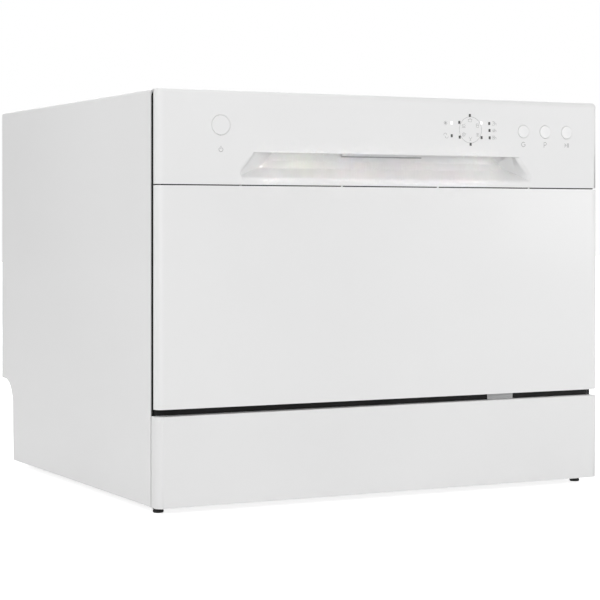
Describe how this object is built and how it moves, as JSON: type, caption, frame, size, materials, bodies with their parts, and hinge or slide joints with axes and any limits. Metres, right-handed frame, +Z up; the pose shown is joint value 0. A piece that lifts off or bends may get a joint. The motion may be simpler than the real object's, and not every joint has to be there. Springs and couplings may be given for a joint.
{
  "type": "countertop dishwasher",
  "caption": "White countertop dishwasher with a drop-down door, push-button console with a recessed handle, a wheeled dish rack, a spray arm and its pumps in the base.",
  "frame": {"origin": "on the worktop under the middle of the cabinet", "axes": "+X to the user's right, +Y to the back, +Z up"},
  "size_m": [0.55, 0.5, 0.438],
  "materials": {
    "cabinet_paint": "satin white powder coat",
    "door_paint": "smooth white enamel",
    "console_plastic": "fine moulded white",
    "plinth_plastic": "fine moulded white",
    "button_plastic": "smooth",
    "stainless": "fine brushed",
    "galvanised": "spangled zinc",
    "spring_steel": "oiled",
    "black_plastic": "moulded",
    "grey_plastic": "moulded",
    "pale_plastic": "moulded",
    "rack_coating": "dipped vinyl",
    "rubber": "moulded",
    "gasket_rubber": "extruded",
    "window_plastic": "smoked",
    "board_green": "lacquered"
  },
  "bodies": {
    "cabinet": {"cabinet_wrap": "cabinet_paint", "rear_panel": "galvanised", "rear_screws": "galvanised", "plinth": "plinth_plastic", "plinth_clips": "pale_plastic", "base_tray": "black_plastic", "feet": "rubber", "tub": "stainless", "tub_gasket": "gasket_rubber", "latch_striker": "spring_steel", "hinge_brackets": "galvanised", "hinge_springs": "spring_steel", "sump": "grey_plastic", "flat_filter": "stainless", "spray_arm_nut": "grey_plastic", "wash_pump": "black_plastic", "flow_heater": "stainless", "drain_pump": "black_plastic", "drain_spigot": "grey_plastic", "inlet_valve": "pale_plastic", "cable_gland": "black_plastic", "water_channel": "pale_plastic", "softener_tank": "pale_plastic", "fill_hose": "black_plastic", "drain_hose": "black_plastic", "float_switch": "grey_plastic"},
    "door": {"door_panel": "door_paint", "door_liner": "stainless", "door_bottom_seal": "gasket_rubber", "hinge_arms": "galvanised", "console": "console_plastic", "indicator_windows": "window_plastic", "control_board": "board_green", "power_switch": "black_plastic", "latch_housing": "grey_plastic", "detergent_dispenser": "grey_plastic"},
    "rack": {"dish_rack": "rack_coating", "plate_tines": "rack_coating", "wheel_carriers": "grey_plastic", "shelf_clips": "grey_plastic"},
    "power_button": {"power_button": "button_plastic"},
    "delay_button": {"delay_button": "button_plastic"},
    "program_button": {"program_button": "button_plastic"},
    "start_button": {"start_button": "button_plastic"},
    "handle_lever": {"handle_lever": "grey_plastic"},
    "latch_hook": {"latch_hook": "spring_steel"},
    "dispenser_lid": {"dispenser_lid": "pale_plastic"},
    "rinse_aid_cap": {"rinse_aid_cap": "grey_plastic"},
    "filter_cup": {"filter_cup": "grey_plastic"},
    "salt_cap": {"salt_cap": "grey_plastic"},
    "spray_arm": {"spray_arm": "grey_plastic"},
    "overflow_float": {"overflow_float": "pale_plastic"},
    "rack_wheel_front_left": {"rack_wheel_front_left": "grey_plastic"},
    "rack_wheel_front_right": {"rack_wheel_front_right": "grey_plastic"},
    "rack_wheel_rear_left": {"rack_wheel_rear_left": "grey_plastic"},
    "rack_wheel_rear_right": {"rack_wheel_rear_right": "grey_plastic"},
    "cup_shelf": {"cup_shelf": "rack_coating"},
    "cutlery_basket": {"cutlery_basket": "grey_plastic"}
  },
  "joints": [
    {"name": "door_hinge", "type": "hinge", "parent": "cabinet", "child": "door", "pos_m": [0, -0.2405, 0.1133], "axis": [1, 0, 0], "range_deg": [0, 90], "deforming": ["latch_striker"]},
    {"name": "rack_slide", "type": "slide", "parent": "cabinet", "child": "rack", "axis": [0, -1, 0], "range_m": [0, 0.118]},
    {"name": "cup_shelf_fold", "type": "hinge", "parent": "rack", "child": "cup_shelf", "pos_m": [-0.21462, -0.005, 0.286], "axis": [0, -1, 0], "range_deg": [0, 85]},
    {"name": "cutlery_basket_lift", "type": "slide", "parent": "rack", "child": "cutlery_basket", "axis": [0, 0, 1], "range_m": [0, 0.08]},
    {"name": "handle_squeeze", "type": "hinge", "parent": "door", "child": "handle_lever", "pos_m": [0, -0.217, 0.392], "axis": [-1, 0, 0], "range_deg": [0, 12], "stiffness_Nm_per_rad": 1.5, "springref_deg": -2.86},
    {"name": "latch_hook_tilt", "type": "hinge", "parent": "door", "child": "latch_hook", "pos_m": [0, -0.216, 0.413], "axis": [1, 0, 0], "range_deg": [0, 10.5]},
    {"name": "dispenser_lid_slide", "type": "slide", "parent": "door", "child": "dispenser_lid", "axis": [-1, 0, 0], "range_m": [0, 0.068]},
    {"name": "rinse_aid_cap_turn", "type": "hinge", "parent": "door", "child": "rinse_aid_cap", "pos_m": [0.006, -0.202, 0.2806], "axis": [0, 1, 0], "range_deg": [0, 90]},
    {"name": "filter_cup_turn", "type": "hinge", "parent": "cabinet", "child": "filter_cup", "pos_m": [0.042, 0, 0.12], "axis": [0, 0, 1], "range_deg": [0, 60]},
    {"name": "salt_cap_turn", "type": "hinge", "parent": "cabinet", "child": "salt_cap", "pos_m": [-0.13, 0.1, 0.144], "axis": [0, 0, 1], "range_deg": [0, 180]},
    {"name": "spray_arm_spin", "type": "hinge", "parent": "cabinet", "child": "spray_arm", "pos_m": [0, 0, 0.154], "axis": [0, 0, 1], "continuous": true},
    {"name": "float_rise", "type": "slide", "parent": "cabinet", "child": "overflow_float", "axis": [0, 0, 1], "range_m": [0, 0.006]},
    {"name": "power_press", "type": "slide", "parent": "door", "child": "power_button", "axis": [0, 1, 0], "range_m": [0, 0.0015], "stiffness_N_per_m": 300, "springref_m": -0.0005},
    {"name": "delay_press", "type": "slide", "parent": "door", "child": "delay_button", "axis": [0, 1, 0], "range_m": [0, 0.0015], "stiffness_N_per_m": 300, "springref_m": -0.0005},
    {"name": "program_press", "type": "slide", "parent": "door", "child": "program_button", "axis": [0, 1, 0], "range_m": [0, 0.0015], "stiffness_N_per_m": 300, "springref_m": -0.0005},
    {"name": "start_press", "type": "slide", "parent": "door", "child": "start_button", "axis": [0, 1, 0], "range_m": [0, 0.0015], "stiffness_N_per_m": 300, "springref_m": -0.0005},
    {"name": "wheel_front_left_spin", "type": "hinge", "parent": "rack", "child": "rack_wheel_front_left", "pos_m": [-0.2292, -0.13, 0.1643], "axis": [1, 0, 0], "range_deg": [0, 515]},
    {"name": "wheel_front_right_spin", "type": "hinge", "parent": "rack", "child": "rack_wheel_front_right", "pos_m": [0.2292, -0.13, 0.1643], "axis": [1, 0, 0], "range_deg": [0, 515]},
    {"name": "wheel_rear_left_spin", "type": "hinge", "parent": "rack", "child": "rack_wheel_rear_left", "pos_m": [-0.2292, 0.155, 0.1643], "axis": [1, 0, 0], "range_deg": [0, 515]},
    {"name": "wheel_rear_right_spin", "type": "hinge", "parent": "rack", "child": "rack_wheel_rear_right", "pos_m": [0.2292, 0.155, 0.1643], "axis": [1, 0, 0], "range_deg": [0, 515]}
  ],
  "couplings": [
    {"joint": "rack_slide", "follows": "door_hinge", "m_per_rad": 0.074},
    {"joint": "latch_hook_tilt", "follows": "handle_squeeze", "ratio": 0.8333},
    {"joint": "wheel_front_left_spin", "follows": "door_hinge", "ratio": 5.6923},
    {"joint": "wheel_front_right_spin", "follows": "door_hinge", "ratio": 5.6923},
    {"joint": "wheel_rear_left_spin", "follows": "door_hinge", "ratio": 5.6923},
    {"joint": "wheel_rear_right_spin", "follows": "door_hinge", "ratio": 5.6923}
  ]
}
